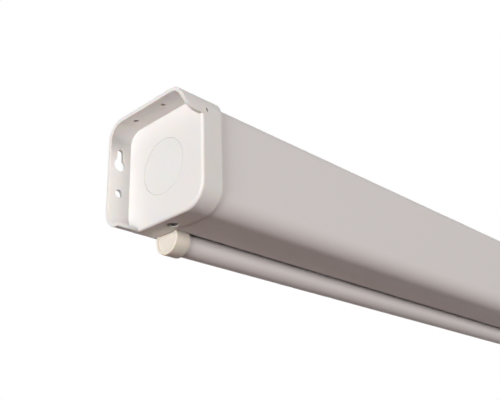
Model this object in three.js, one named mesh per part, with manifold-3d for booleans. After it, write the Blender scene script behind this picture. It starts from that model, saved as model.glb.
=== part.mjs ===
// A manual projection screen: a sheet-steel case between two moulded end caps, a spring roller
// with the wound screen inside, and a round bottom bar that parks in the slot under the case.
// Millimetres. +X runs along the case from the left cap, +Y points at the wall, +Z is up.
// Everything is drawn from the left end panel's outer face (x), the case's front (y) and its
// underside (z), and the finished group is moved so that the origin is on the wall face of the
// left rear flange, midway between its two holes.

import * as THREE from 'three';
import { mergeVertices } from 'three/addons/utils/BufferGeometryUtils.js';
import Module from 'manifold-3d';

const wasm = await Module();
wasm.setup();

// Fits shared by all pieces
const seatGap = 0.3;
const cutOverrun = 1;
const roundSides = 40;
const smallSides = 12;
const holeSides = 20;
const cornerSteps = 7;

// Case section and length
const caseHeight = 100;
const caseDepth = 98;
const caseSpan = 1680;

// End cap, a rounded box whose side is taken on as a flange over the top, down the rear and
// around the bend below it
const flangeReach = 21;
const flangeThickness = 3.5;
const flangeFoot = 0.4;
const rimRadius = 2.5;
const rimSteps = 4;
const skirtLength = 21.5;
const skirtWall = 3;
const baseWall = 3;
const panelThickness = 4.6;
const frontTopRadius = 15;
const rearTopRadius = 17;
const rearBottomRadius = 16;
const frontBottomRadius = 21;

// Front edge of the flange, which leaves the end panel level and curves up to the free edge
const returnHeight = 79.4;
const returnFlat = 4.7;
const returnSteps = 9;

// Holes in the cap
const flangeHoleReach = 10.6;
const keyholeHeight = 63;
const keyholeRadius = 5.8;
const keySlotRadius = 3.2;
const keySlotRise = 11.8;
const wallHoleHeight = 36;
const wallHoleRadius = 3.5;
const ceilingHoleReach = 11.7;
const ceilingHoleRadius = 2.3;
const ceilingHoleFront = 35.5;
const ceilingHoleRear = 26;
const markInset = 5.3;
const markHeight = 83.9;
const markLength = 3.4;
const markRadius = 0.5;
const markDepth = 2;
const markLean = THREE.MathUtils.degToRad(20);

// Roller axis, midway between the case's front and rear, and the cover disc in front of it
const rollerHeight = 49;
const discRadius = 25;
const discThickness = 1.2;
const pocketRadius = 21.5;
const pocketDepth = 3;

// Screw under the cap, in its boss
const baseScrewInset = 12.3;
const baseScrewOffset = 1.3;
const bossRadius = 7;
const bossTop = 8.2;
const counterboreRadius = 4.7;
const screwRecess = 2.4;
const screwHeadRadius = 4.2;
const screwHeadHeight = 2;
const screwShankRadius = 1.7;
const screwLength = 10;
const crossSlotWidth = 1.1;
const crossSlotLength = 4.6;
const crossSlotDepth = 1.2;

// Case shell and the slot under it
const sheet = 1.2;
const shellUndersideRise = 0.6;
const shellRearBend = 10;
const slotHalfWidth = 13.25;
const slotLipHeight = 6;
const shellNotchHeight = 22;

// Roller brackets
const bracketThickness = 2;
const bracketHalfWidth = 24;
const bracketCrown = 24;
const bracketCornerRadius = 8;
const footHalfWidth = 12;
const footLength = 15;
const rivetOffset = 16;
const rivetRadius = 1.7;
const rivetHeadRadius = 3.2;
const rivetHeadHeight = 1;

// Spring motor in the left end of the roller
const tangThickness = 3.2;
const tangWidth = 10;
const tangEnd = 10;
const shaftRadius = 4;
const shaftEnd = 298;
const ratchetStart = 10.6;
const ratchetThickness = 3.6;
const ratchetRadius = 11;
const notchFloorRadius = 8;
const notchWidth = 4.8;
const toothAngle = THREE.MathUtils.degToRad(55);
const toothTipRadius = 11.6;
const toothWidth = 2.8;
const pawlPivotRadius = 16.5;
const pawlEyeRadius = 2.9;
const pawlArmRadius = 15.4;
const pawlThickness = 2.8;
const pawlPinRadius = 1.3;
const pawlPinHeadRadius = 2.3;
const pawlPinHeadHeight = 0.8;
const pawlPinStart = 9;
const plugFlangeStart = 15;
const plugFlangeThickness = 2.2;
const plugFlangeRadius = 20;
const plugLength = 25;
const springWireRadius = 1.3;
const springCoilRadius = 8.5;
const springPitch = 7.6;
const springTurns = 28;
const springSides = 5;
const stepsPerTurn = 8;
const anchorRadius = 10.5;
const anchorLength = 12;
const bearingStart = 284;
const bearingLength = 8;

// Roller tube and idler end
const tubeRadius = 16;
const tubeWall = 1.5;
const idlerPinInset = 5;
const idlerPinDepth = 30;
const bushRadius = 7;
const bushFlangeRadius = 9.5;
const bushFlangeThickness = 2;

// Screen
const screenMargin = 40;
const rollRadius = 20.8;
const fabricThickness = 0.3;

// Bottom bar
const barHeight = -4.45;
const barRadius = 11.6;
const barWall = 1.4;
const barSlotWidth = 2.4;
const barCapRadius = 13.7;
const barCapLength = 14.7;
const barCapFace = 2.6;
const barCapDishRadius = 11.1;
const barCapDishDepth = 0.8;
const barCapGap = 0.5;
const hemRodRadius = 3;

// Pull handle at the middle of the bar
const saddleThickness = 1.6;
const saddleLength = 32;
const saddleHalfAngle = THREE.MathUtils.degToRad(62);
const lugThickness = 3;
const lugSpacing = 28;
const lugHalfWidth = 4.6;
const pinDrop = 6;
const handlePinRadius = 2.2;
const handlePinOverhang = 1.2;
const handleInnerWidth = 34;
const handleArmWidth = 6;
const handleDepth = 8;
const handleInnerDrop = 27;
const handleGrip = 8;
const handleEyeRadius = 5;
const handleCornerRadius = 10;
const saddleRivetSpacing = 16;
const saddleRivetRadius = 1.5;
const saddleRivetHead = 2.6;

// Places worked out from the sizes
const returnRadius = flangeReach - returnFlat;
const rollerDepth = caseDepth / 2;
const baseScrewDepth = rollerDepth + baseScrewOffset;
const panelInner = panelThickness + seatGap;
const bracketInner = panelInner + bracketThickness;
const shellFront = skirtWall + seatGap;
const shellTop = caseHeight - shellFront;
const shellRear = caseDepth - shellFront;
const footBottom = bossTop + seatGap;
const footTop = footBottom + bracketThickness;
const tubeStart = plugFlangeStart + plugFlangeThickness + seatGap;
const plugRadius = tubeRadius - tubeWall - seatGap;
const plugEnd = plugFlangeStart + plugFlangeThickness + plugLength;
const springStart = plugEnd + springWireRadius + seatGap;
const anchorStart = springStart + springPitch * springTurns + springWireRadius + seatGap;
const fabricDepth = rollerDepth + rollRadius + seatGap + fabricThickness / 2;
const slotFront = fabricDepth - slotHalfWidth;
const slotRear = fabricDepth + slotHalfWidth;
const barStart = skirtLength + barCapGap;
const barTubeStart = barStart + barCapFace + seatGap;
const barInnerRadius = barRadius - barWall;
const hemRodHeight = barHeight + barInnerRadius - hemRodRadius - seatGap;
const middle = caseSpan / 2;
const pinHeight = barHeight - barRadius - pinDrop;
const wallHoleMiddle = (keyholeHeight + wallHoleHeight) / 2;

const axisX = new THREE.Vector3(1, 0, 0);
const axisY = new THREE.Vector3(0, 1, 0);
const axisZ = new THREE.Vector3(0, 0, 1);
const outlineAlongX = new THREE.Matrix4().makeBasis(axisY, axisZ, axisX);
const outlineAlongY = new THREE.Matrix4().makeBasis(axisX, axisZ, axisY.clone().negate());

// A closed three.js geometry as a solid that can be joined and cut
function toSolid(geometry) {
  const bare = geometry.clone();
  bare.deleteAttribute('normal');
  bare.deleteAttribute('uv');
  const merged = mergeVertices(bare);
  return new wasm.Manifold(new wasm.Mesh({
    numProp: 3,
    vertProperties: new Float32Array(merged.attributes.position.array),
    triVerts: new Uint32Array(merged.index.array),
  }));
}

function toGeometry(solid) {
  const mesh = solid.getMesh();
  const geometry = new THREE.BufferGeometry();
  geometry.setAttribute('position', new THREE.BufferAttribute(mesh.vertProperties, mesh.numProp));
  geometry.setIndex(new THREE.BufferAttribute(mesh.triVerts, 1));
  geometry.computeVertexNormals();
  return geometry;
}

// The same geometry on the other end of the case, its triangles turned to face out again
function mirrored(geometry) {
  const copy = geometry.clone();
  copy.scale(-1, 1, 1);
  copy.translate(caseSpan, 0, 0);
  const index = copy.index.array;
  for (let i = 0; i < index.length; i += 3) {
    [index[i], index[i + 1]] = [index[i + 1], index[i]];
  }
  copy.computeVertexNormals();
  return copy;
}

// Points of an outline whose corners [a, b, radius] are rounded by arcs
function roundedOutline(corners) {
  return corners.flatMap(([a, b, radius], i) => {
    const here = new THREE.Vector2(a, b);
    if (!radius) return [here];
    const before = corners[(i + corners.length - 1) % corners.length];
    const after = corners[(i + 1) % corners.length];
    const back = new THREE.Vector2(before[0], before[1]).sub(here).normalize();
    const ahead = new THREE.Vector2(after[0], after[1]).sub(here).normalize();
    const half = Math.acos(back.dot(ahead)) / 2;
    const reach = radius / Math.tan(half);
    const centre = back.clone().add(ahead).normalize().multiplyScalar(radius / Math.sin(half)).add(here);
    const start = back.multiplyScalar(reach).add(here).sub(centre);
    const end = ahead.multiplyScalar(reach).add(here).sub(centre);
    const sweep = Math.atan2(start.cross(end), start.dot(end));
    return Array.from({ length: cornerSteps + 1 }, (_, k) => (
      start.clone().rotateAround(new THREE.Vector2(), sweep * k / cornerSteps).add(centre)
    ));
  });
}

function arc(a, b, radius, from, to, steps) {
  return Array.from({ length: steps + 1 }, (_, k) => {
    const angle = from + (to - from) * k / steps;
    return new THREE.Vector2(a + radius * Math.cos(angle), b + radius * Math.sin(angle));
  });
}

function circle(a, b, radius, sides = roundSides) {
  return arc(a, b, radius, 0, 2 * Math.PI, sides).slice(0, sides);
}

function rectangle(a0, b0, a1, b1) {
  return [[a0, b0], [a1, b0], [a1, b1], [a0, b1]].map(([a, b]) => new THREE.Vector2(a, b));
}

function extruded(outline, holes, length) {
  const shape = new THREE.Shape(outline);
  shape.holes = holes.map((hole) => new THREE.Path(hole));
  return new THREE.ExtrudeGeometry(shape, { depth: length, bevelEnabled: false });
}

// Prisms: an outline drawn in (y, z), (x, z) or (x, y) between two places on the third axis
function prismX(outline, from, to, ...holes) {
  return toSolid(extruded(outline, holes, to - from).applyMatrix4(outlineAlongX).translate(from, 0, 0));
}

function prismY(outline, from, to, ...holes) {
  return toSolid(extruded(outline, holes, to - from).applyMatrix4(outlineAlongY).translate(0, to, 0));
}

function prismZ(outline, from, to, ...holes) {
  return toSolid(extruded(outline, holes, to - from).translate(0, 0, from));
}

// A solid through a row of like outlines in (y, z), each at its own x
function loftX(rings) {
  const sides = rings[0].outline.length;
  const positions = rings.flatMap(({ x, outline }) => outline.flatMap((p) => [x, p.x, p.y]));
  const index = [];
  for (let ring = 0; ring + 1 < rings.length; ring += 1) {
    for (let side = 0; side < sides; side += 1) {
      const near = ring * sides + side;
      const next = ring * sides + (side + 1) % sides;
      index.push(near, next, next + sides, near, next + sides, near + sides);
    }
  }
  const last = (rings.length - 1) * sides;
  THREE.ShapeUtils.triangulateShape(rings[0].outline, []).forEach(([a, b, c]) => index.push(a, c, b));
  THREE.ShapeUtils.triangulateShape(rings.at(-1).outline, [])
    .forEach(([a, b, c]) => index.push(last + a, last + b, last + c));
  const geometry = new THREE.BufferGeometry();
  geometry.setAttribute('position', new THREE.Float32BufferAttribute(positions, 3));
  geometry.setIndex(index);
  return toSolid(geometry);
}

// End cap

function capOutline(inset) {
  return roundedOutline([
    [inset, inset, frontBottomRadius - inset],
    [caseDepth - inset, inset, rearBottomRadius - inset],
    [caseDepth - inset, caseHeight - inset, rearTopRadius - inset],
    [inset, caseHeight - inset, frontTopRadius - inset],
  ]);
}

// The box of the cap, its rim rounded where the end panel meets the skirt
function capBox() {
  const rim = Array.from({ length: rimSteps + 1 }, (_, k) => {
    const angle = k / rimSteps * Math.PI / 2;
    return { x: rimRadius * (1 - Math.cos(angle)), outline: capOutline(rimRadius * (1 - Math.sin(angle))) };
  });
  return loftX([...rim, { x: skirtLength, outline: capOutline(0) }]);
}

// What the flange's front edge leaves open
function frontOpening(from, to) {
  const down = -Math.PI / 2;
  const crest = returnHeight + returnRadius;
  const outline = [
    new THREE.Vector2(to, -cutOverrun), new THREE.Vector2(to, returnHeight),
    ...arc(-returnFlat, crest, returnRadius, down, 2 * down, returnSteps),
    new THREE.Vector2(from, crest), new THREE.Vector2(from, -cutOverrun),
  ];
  return prismY(outline, -cutOverrun, frontTopRadius + cutOverrun);
}

// The flange, a band that follows the box's outline and covers its rim
function flange() {
  const [outer, inner] = [-flangeReach, rimRadius + cutOverrun];
  const rear = caseDepth - flangeThickness;
  const top = caseHeight - flangeThickness;
  const foot = caseDepth - rearBottomRadius - flangeFoot;
  const hollow = prismX(roundedOutline([
    [flangeThickness, -cutOverrun, 0],
    [foot, -cutOverrun, 0],
    [foot, flangeThickness, 0],
    [rear, flangeThickness, rearBottomRadius - flangeThickness],
    [rear, top, rearTopRadius - flangeThickness],
    [flangeThickness, top, frontTopRadius - flangeThickness],
  ]), outer - cutOverrun, inner + cutOverrun);
  return prismX(capOutline(0), outer, inner)
    .subtract(hollow)
    .subtract(frontOpening(outer - cutOverrun, inner + cutOverrun));
}

function flangeHoles() {
  const rear = [caseDepth - flangeThickness - cutOverrun, caseDepth + cutOverrun];
  const slot = roundedOutline([
    [-flangeHoleReach - keySlotRadius, keyholeHeight, 0],
    [-flangeHoleReach + keySlotRadius, keyholeHeight, 0],
    [-flangeHoleReach + keySlotRadius, keyholeHeight + keySlotRise + keySlotRadius, keySlotRadius],
    [-flangeHoleReach - keySlotRadius, keyholeHeight + keySlotRise + keySlotRadius, keySlotRadius],
  ]);
  const ceilingHoles = [ceilingHoleFront, caseDepth - ceilingHoleRear].map((y) => prismZ(
    circle(-ceilingHoleReach, y, ceilingHoleRadius, holeSides),
    caseHeight - flangeThickness - cutOverrun, caseHeight + cutOverrun,
  ));
  return [
    prismY(circle(-flangeHoleReach, keyholeHeight, keyholeRadius), ...rear),
    prismY(slot, ...rear),
    prismY(circle(-flangeHoleReach, wallHoleHeight, wallHoleRadius, holeSides), ...rear),
    ...ceilingHoles,
  ];
}

function skirtPocket() {
  const outline = roundedOutline([
    [skirtWall, baseWall, frontBottomRadius - skirtWall],
    [caseDepth - skirtWall, baseWall, rearBottomRadius - skirtWall],
    [caseDepth - skirtWall, caseHeight - skirtWall, rearTopRadius - skirtWall],
    [skirtWall, caseHeight - skirtWall, frontTopRadius - skirtWall],
  ]);
  return prismX(outline, panelThickness, skirtLength + cutOverrun);
}

// The small slanted slot in the skirt beside the flange's front edge
function markCut() {
  const half = markLength / 2 - markRadius;
  const [across, up] = [half * Math.sin(markLean), half * Math.cos(markLean)];
  const outline = [1, -1].flatMap((end, k) => arc(
    markInset - end * across, markHeight + end * up, markRadius,
    markLean + k * Math.PI, markLean + (k + 1) * Math.PI, smallSides / 2,
  ));
  return prismY(outline, -cutOverrun, markDepth);
}

function endCap() {
  const boss = prismZ(circle(baseScrewInset, baseScrewDepth, bossRadius), baseWall / 2, bossTop);
  const cap = capBox().subtract(skirtPocket()).add(flange()).add(boss);
  const rivetHoles = [-1, 1].map((side) => prismX(
    circle(rollerDepth, rollerHeight + side * rivetOffset, rivetRadius + seatGap, smallSides),
    0, panelThickness + cutOverrun,
  ));
  const cuts = [
    ...flangeHoles(),
    ...rivetHoles,
    prismX(circle(rollerDepth, rollerHeight, discRadius + seatGap), -cutOverrun, discThickness + seatGap),
    prismX(circle(rollerDepth, rollerHeight, pocketRadius), -cutOverrun, pocketDepth),
    prismZ(circle(baseScrewInset, baseScrewDepth, counterboreRadius, holeSides),
      -cutOverrun, screwRecess + screwHeadHeight + seatGap),
    prismZ(circle(baseScrewInset, baseScrewDepth, screwShankRadius + seatGap, smallSides),
      0, bossTop + cutOverrun),
    markCut(),
  ];
  return toGeometry(cuts.reduce((solid, cut) => solid.subtract(cut), cap));
}

function coverDisc() {
  return toGeometry(prismX(circle(rollerDepth, rollerHeight, discRadius), 0, discThickness));
}

function baseScrew() {
  const head = prismZ(circle(baseScrewInset, baseScrewDepth, screwHeadRadius, holeSides),
    screwRecess, screwRecess + screwHeadHeight);
  const shank = prismZ(circle(baseScrewInset, baseScrewDepth, screwShankRadius, smallSides),
    screwRecess + screwHeadHeight / 2, screwRecess + screwLength);
  const slotBottom = [screwRecess - cutOverrun, screwRecess + crossSlotDepth];
  const [long, short] = [crossSlotLength / 2, crossSlotWidth / 2];
  const slots = [[long, short], [short, long]].map(([w, d]) => prismZ(rectangle(
    baseScrewInset - w, baseScrewDepth - d, baseScrewInset + w, baseScrewDepth + d,
  ), ...slotBottom));
  return toGeometry(slots.reduce((solid, slot) => solid.subtract(slot), head.add(shank)));
}

// Case shell: a sheet-steel channel, open below where the bar parks, notched around the cap's base

function caseShell() {
  const underside = shellUndersideRise;
  const rearBend = Math.min(shellRearBend, shellRear - slotRear);
  const frontBend = frontBottomRadius - shellFront;
  const frontTopBend = frontTopRadius - shellFront;
  const rearTopBend = rearTopRadius - shellFront;
  const innerFront = shellFront + sheet;
  const innerTop = shellTop - sheet;
  const innerRear = shellRear - sheet;
  const outline = roundedOutline([
    [slotFront, underside, 0],
    [shellFront, underside, frontBend],
    [shellFront, shellTop, frontTopBend],
    [shellRear, shellTop, rearTopBend],
    [shellRear, underside, rearBend],
    [slotRear, underside, 0],
    [slotRear, underside + sheet, 0],
    [innerRear, underside + sheet, rearBend - sheet],
    [innerRear, innerTop, rearTopBend - sheet],
    [innerFront, innerTop, frontTopBend - sheet],
    [innerFront, underside + sheet, frontBend - sheet],
    [slotFront - sheet, underside + sheet, 0],
    [slotFront - sheet, underside + slotLipHeight, 0],
    [slotFront, underside + slotLipHeight, 0],
  ]);
  const shell = prismX(outline, panelInner, caseSpan - panelInner);
  const notchEnd = skirtLength + seatGap;
  const notches = [[0, notchEnd], [caseSpan - notchEnd, caseSpan]].map(([from, to]) => (
    prismX(rectangle(0, -cutOverrun, caseDepth, shellNotchHeight), from, to)
  ));
  return toGeometry(notches.reduce((solid, notch) => solid.subtract(notch), shell));
}

// Roller brackets and what fixes them

function bracket(opening) {
  const plate = prismX(roundedOutline([
    [rollerDepth - bracketHalfWidth, footBottom, 0],
    [rollerDepth + bracketHalfWidth, footBottom, 0],
    [rollerDepth + bracketHalfWidth, rollerHeight + bracketCrown, bracketCornerRadius],
    [rollerDepth - bracketHalfWidth, rollerHeight + bracketCrown, bracketCornerRadius],
  ]), panelInner, bracketInner);
  const foot = prismZ(rectangle(
    panelInner, baseScrewDepth - footHalfWidth, panelInner + footLength, baseScrewDepth + footHalfWidth,
  ), footBottom, footTop);
  const cuts = [
    opening,
    prismZ(circle(baseScrewInset, baseScrewDepth, screwShankRadius + seatGap, smallSides),
      footBottom - cutOverrun, footTop + cutOverrun),
    ...[-1, 1].map((side) => prismX(
      circle(rollerDepth, rollerHeight + side * rivetOffset, rivetRadius + seatGap, smallSides),
      panelInner - cutOverrun, bracketInner + cutOverrun,
    )),
  ];
  return toGeometry(cuts.reduce((solid, cut) => solid.subtract(cut), plate.add(foot)));
}

function tangOpening() {
  const [y, z] = [tangThickness / 2 + seatGap, tangWidth / 2 + seatGap];
  return prismX(rectangle(rollerDepth - y, rollerHeight - z, rollerDepth + y, rollerHeight + z),
    panelInner - cutOverrun, bracketInner + cutOverrun);
}

function bushOpening() {
  return prismX(circle(rollerDepth, rollerHeight, bushRadius + seatGap),
    panelInner - cutOverrun, bracketInner + cutOverrun);
}

function bracketRivet(side) {
  const outerHead = pocketDepth - seatGap - rivetHeadHeight;
  const innerHead = bracketInner + seatGap;
  const at = [rollerDepth, rollerHeight + side * rivetOffset];
  const rivet = prismX(circle(...at, rivetHeadRadius, smallSides), outerHead, outerHead + rivetHeadHeight)
    .add(prismX(circle(...at, rivetRadius, smallSides), outerHead, innerHead + rivetHeadHeight / 2))
    .add(prismX(circle(...at, rivetHeadRadius, smallSides), innerHead, innerHead + rivetHeadHeight));
  return toGeometry(rivet);
}

// Spring motor

function motorShaft() {
  const tang = prismX(rectangle(
    rollerDepth - tangThickness / 2, rollerHeight - tangWidth / 2,
    rollerDepth + tangThickness / 2, rollerHeight + tangWidth / 2,
  ), panelInner, tangEnd);
  const rod = prismX(circle(rollerDepth, rollerHeight, shaftRadius, smallSides),
    tangEnd - cutOverrun, shaftEnd);
  return toGeometry(tang.add(rod));
}

// The outline of a point given by radius and angle around the roller axis
function aroundAxis(radius, angle) {
  return new THREE.Vector2(rollerDepth + radius * Math.cos(angle), rollerHeight + radius * Math.sin(angle));
}

// A band that runs in from outside along a radius, used for the notches and the teeth
function radialBand(angle, innerRadius, outerRadius, width) {
  const along = new THREE.Vector2(Math.cos(angle), Math.sin(angle));
  const across = new THREE.Vector2(-along.y, along.x).multiplyScalar(width / 2);
  const [near, far] = [aroundAxis(innerRadius, angle), aroundAxis(outerRadius, angle)];
  return [near.clone().sub(across), far.clone().sub(across), far.clone().add(across), near.clone().add(across)];
}

function ratchetPlate() {
  const ends = [ratchetStart, ratchetStart + ratchetThickness];
  let plate = prismX(circle(rollerDepth, rollerHeight, ratchetRadius), ...ends,
    circle(rollerDepth, rollerHeight, shaftRadius + seatGap, smallSides));
  [0, Math.PI].forEach((turn) => {
    const notch = radialBand(toothAngle + turn, notchFloorRadius, ratchetRadius + cutOverrun, notchWidth);
    plate = plate.subtract(prismX(notch, ends[0] - cutOverrun, ends[1] + cutOverrun));
  });
  return toGeometry(plate);
}

// A dog that pivots on the end plug and drops its tooth into a notch of the fixed plate
function pawl(turn) {
  const from = ratchetStart + (ratchetThickness - pawlThickness) / 2;
  const ends = [from, from + pawlThickness];
  const pivot = aroundAxis(pawlPivotRadius, turn);
  const eye = prismX(circle(pivot.x, pivot.y, pawlEyeRadius, smallSides), ...ends);
  const armInner = arc(rollerDepth, rollerHeight, pawlArmRadius - toothWidth / 2, turn, turn + toothAngle, cornerSteps);
  const armOuter = arc(rollerDepth, rollerHeight, pawlArmRadius + toothWidth / 2, turn + toothAngle, turn, cornerSteps);
  const arm = prismX([...armInner, ...armOuter], ...ends);
  const tooth = prismX(radialBand(turn + toothAngle, toothTipRadius, pawlArmRadius + toothWidth / 2, toothWidth),
    ...ends);
  const pinHole = prismX(circle(pivot.x, pivot.y, pawlPinRadius + seatGap, smallSides),
    ends[0] - cutOverrun, ends[1] + cutOverrun);
  return toGeometry(eye.add(arm).add(tooth).subtract(pinHole));
}

function pawlPin(turn) {
  const pivot = aroundAxis(pawlPivotRadius, turn);
  const pin = prismX(circle(pivot.x, pivot.y, pawlPinRadius, smallSides),
    pawlPinStart, plugFlangeStart + plugFlangeThickness);
  const head = prismX(circle(pivot.x, pivot.y, pawlPinHeadRadius, smallSides),
    pawlPinStart, pawlPinStart + pawlPinHeadHeight);
  return toGeometry(pin.add(head));
}

// A flanged plug that fills the end of the roller tube and turns with it
function rollerPlug(...holes) {
  const flange = prismX(circle(rollerDepth, rollerHeight, plugFlangeRadius),
    plugFlangeStart, plugFlangeStart + plugFlangeThickness);
  const body = prismX(circle(rollerDepth, rollerHeight, plugRadius), plugFlangeStart, plugEnd);
  const bore = prismX(circle(rollerDepth, rollerHeight, shaftRadius + seatGap, smallSides),
    plugFlangeStart - cutOverrun, plugEnd + cutOverrun);
  return toGeometry(holes.reduce((solid, hole) => solid.subtract(hole), flange.add(body).subtract(bore)));
}

function pawlPinHoles() {
  return [0, Math.PI].map((turn) => {
    const pivot = aroundAxis(pawlPivotRadius, turn);
    return prismX(circle(pivot.x, pivot.y, pawlPinRadius + seatGap, smallSides),
      plugFlangeStart - cutOverrun, plugFlangeStart + plugFlangeThickness + seatGap);
  });
}

class SpringPath extends THREE.Curve {
  getPoint(t, target = new THREE.Vector3()) {
    const angle = 2 * Math.PI * springTurns * t;
    return target.set(
      springStart + springPitch * springTurns * t,
      rollerDepth + springCoilRadius * Math.cos(angle),
      rollerHeight + springCoilRadius * Math.sin(angle),
    );
  }
}

function torsionSpring() {
  const path = new SpringPath();
  const steps = springTurns * stepsPerTurn;
  path.arcLengthDivisions = steps * stepsPerTurn;
  const section = new THREE.Shape(circle(0, 0, springWireRadius, springSides));
  const wire = new THREE.ExtrudeGeometry(section, { extrudePath: path, steps });
  return toGeometry(toSolid(wire));
}

function sleeveX(radius, boreRadius, from, to) {
  return toGeometry(prismX(circle(rollerDepth, rollerHeight, radius), from, to,
    circle(rollerDepth, rollerHeight, boreRadius)));
}

// Idler end

function idlerPin() {
  return toGeometry(prismX(circle(rollerDepth, rollerHeight, shaftRadius, smallSides),
    idlerPinInset, idlerPinDepth));
}

function idlerBush() {
  const body = prismX(circle(rollerDepth, rollerHeight, bushRadius),
    panelInner, bracketInner + seatGap + bushFlangeThickness);
  const flange = prismX(circle(rollerDepth, rollerHeight, bushFlangeRadius),
    bracketInner + seatGap, bracketInner + seatGap + bushFlangeThickness);
  const bore = prismX(circle(rollerDepth, rollerHeight, shaftRadius + seatGap, smallSides),
    panelInner - cutOverrun, bracketInner + bushFlangeThickness + cutOverrun);
  return toGeometry(body.add(flange).subtract(bore));
}

// Screen and bottom bar

function screenDrop() {
  const half = fabricThickness / 2;
  return toGeometry(prismX(rectangle(
    fabricDepth - half, hemRodHeight + hemRodRadius + seatGap, fabricDepth + half, rollerHeight,
  ), screenMargin, caseSpan - screenMargin));
}

function hemRod() {
  return toGeometry(prismX(circle(fabricDepth, hemRodHeight, hemRodRadius, smallSides),
    screenMargin, caseSpan - screenMargin));
}

function saddleRivetHole(side, radius) {
  return prismZ(circle(middle + side * saddleRivetSpacing / 2, fabricDepth, radius, smallSides),
    barHeight - barRadius - saddleThickness - cutOverrun, barHeight);
}

function bottomBar() {
  const tube = prismX(circle(fabricDepth, barHeight, barRadius), barTubeStart, caseSpan - barTubeStart,
    circle(fabricDepth, barHeight, barInnerRadius));
  const slot = prismX(rectangle(
    fabricDepth - barSlotWidth / 2, barHeight, fabricDepth + barSlotWidth / 2, barHeight + barRadius + cutOverrun,
  ), 0, caseSpan);
  const holes = [-1, 1].map((side) => saddleRivetHole(side, saddleRivetRadius + seatGap));
  return toGeometry(holes.reduce((solid, hole) => solid.subtract(hole), tube.subtract(slot)));
}

function barCap() {
  const body = prismX(circle(fabricDepth, barHeight, barCapRadius), barStart, barStart + barCapLength);
  const socket = prismX(circle(fabricDepth, barHeight, barRadius + seatGap),
    barStart + barCapFace, barStart + barCapLength + cutOverrun);
  const dish = prismX(circle(fabricDepth, barHeight, barCapDishRadius),
    barStart - cutOverrun, barStart + barCapDishDepth);
  return toGeometry(body.subtract(socket).subtract(dish));
}

// Pull handle

function handleBracket() {
  const inner = barRadius + seatGap;
  const down = -Math.PI / 2;
  const ends = [down - saddleHalfAngle, down + saddleHalfAngle];
  const saddleOutline = [
    ...arc(fabricDepth, barHeight, inner, ends[0], ends[1], roundSides / 2),
    ...arc(fabricDepth, barHeight, inner + saddleThickness, ends[1], ends[0], roundSides / 2),
  ];
  const saddle = prismX(saddleOutline, middle - saddleLength / 2, middle + saddleLength / 2);
  const lugTop = barHeight - inner - saddleThickness / 2;
  const lug = roundedOutline([
    [fabricDepth - lugHalfWidth, lugTop, 0],
    [fabricDepth + lugHalfWidth, lugTop, 0],
    [fabricDepth + lugHalfWidth, pinHeight - lugHalfWidth, lugHalfWidth],
    [fabricDepth - lugHalfWidth, pinHeight - lugHalfWidth, lugHalfWidth],
  ]);
  const pinHole = circle(fabricDepth, pinHeight, handlePinRadius + seatGap, smallSides);
  const lugs = [-1, 1].map((side) => {
    const centre = middle + side * lugSpacing / 2;
    return prismX(lug, centre - lugThickness / 2, centre + lugThickness / 2, pinHole);
  });
  const holes = [-1, 1].map((side) => saddleRivetHole(side, saddleRivetRadius + seatGap));
  const joined = lugs.reduce((solid, piece) => solid.add(piece), saddle);
  return toGeometry(holes.reduce((solid, hole) => solid.subtract(hole), joined));
}

function saddleRivet(side) {
  const headTop = barHeight - barRadius - seatGap - saddleThickness - seatGap;
  const tailBottom = barHeight - barInnerRadius + seatGap;
  const at = [middle + side * saddleRivetSpacing / 2, fabricDepth];
  const shank = prismZ(circle(...at, saddleRivetRadius, smallSides), headTop - rivetHeadHeight / 2,
    tailBottom + rivetHeadHeight);
  const head = prismZ(circle(...at, saddleRivetHead, smallSides), headTop - rivetHeadHeight, headTop);
  const tail = prismZ(circle(...at, saddleRivetHead, smallSides), tailBottom + seatGap,
    tailBottom + rivetHeadHeight);
  return toGeometry(shank.add(head).add(tail));
}

const handleOuterHalf = handleInnerWidth / 2 + handleArmWidth;

function handlePin() {
  const half = handleOuterHalf + handlePinOverhang;
  return toGeometry(prismX(circle(fabricDepth, pinHeight, handlePinRadius, smallSides),
    middle - half, middle + half));
}

function pullHandle() {
  const inner = handleInnerWidth / 2;
  const top = pinHeight + handleEyeRadius;
  const innerBottom = pinHeight - handleInnerDrop;
  const loop = roundedOutline([
    [middle - handleOuterHalf, top, 0],
    [middle - handleOuterHalf, innerBottom - handleGrip, handleCornerRadius + handleArmWidth],
    [middle + handleOuterHalf, innerBottom - handleGrip, handleCornerRadius + handleArmWidth],
    [middle + handleOuterHalf, top, 0],
    [middle + inner, top, 0],
    [middle + inner, innerBottom, handleCornerRadius],
    [middle - inner, innerBottom, handleCornerRadius],
    [middle - inner, top, 0],
  ]);
  const body = prismY(loop, fabricDepth - handleDepth / 2, fabricDepth + handleDepth / 2);
  const pinHole = prismX(circle(fabricDepth, pinHeight, handlePinRadius + seatGap, smallSides),
    middle - handleOuterHalf - cutOverrun, middle + handleOuterHalf + cutOverrun);
  const eyeRound = prismX(roundedOutline([
    [fabricDepth - handleDepth / 2, innerBottom - handleGrip - cutOverrun, 0],
    [fabricDepth + handleDepth / 2, innerBottom - handleGrip - cutOverrun, 0],
    [fabricDepth + handleDepth / 2, top, handleDepth / 2],
    [fabricDepth - handleDepth / 2, top, handleDepth / 2],
  ]), middle - handleOuterHalf, middle + handleOuterHalf);
  return toGeometry(body.intersect(eyeRound).subtract(pinHole));
}

// Materials

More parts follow.
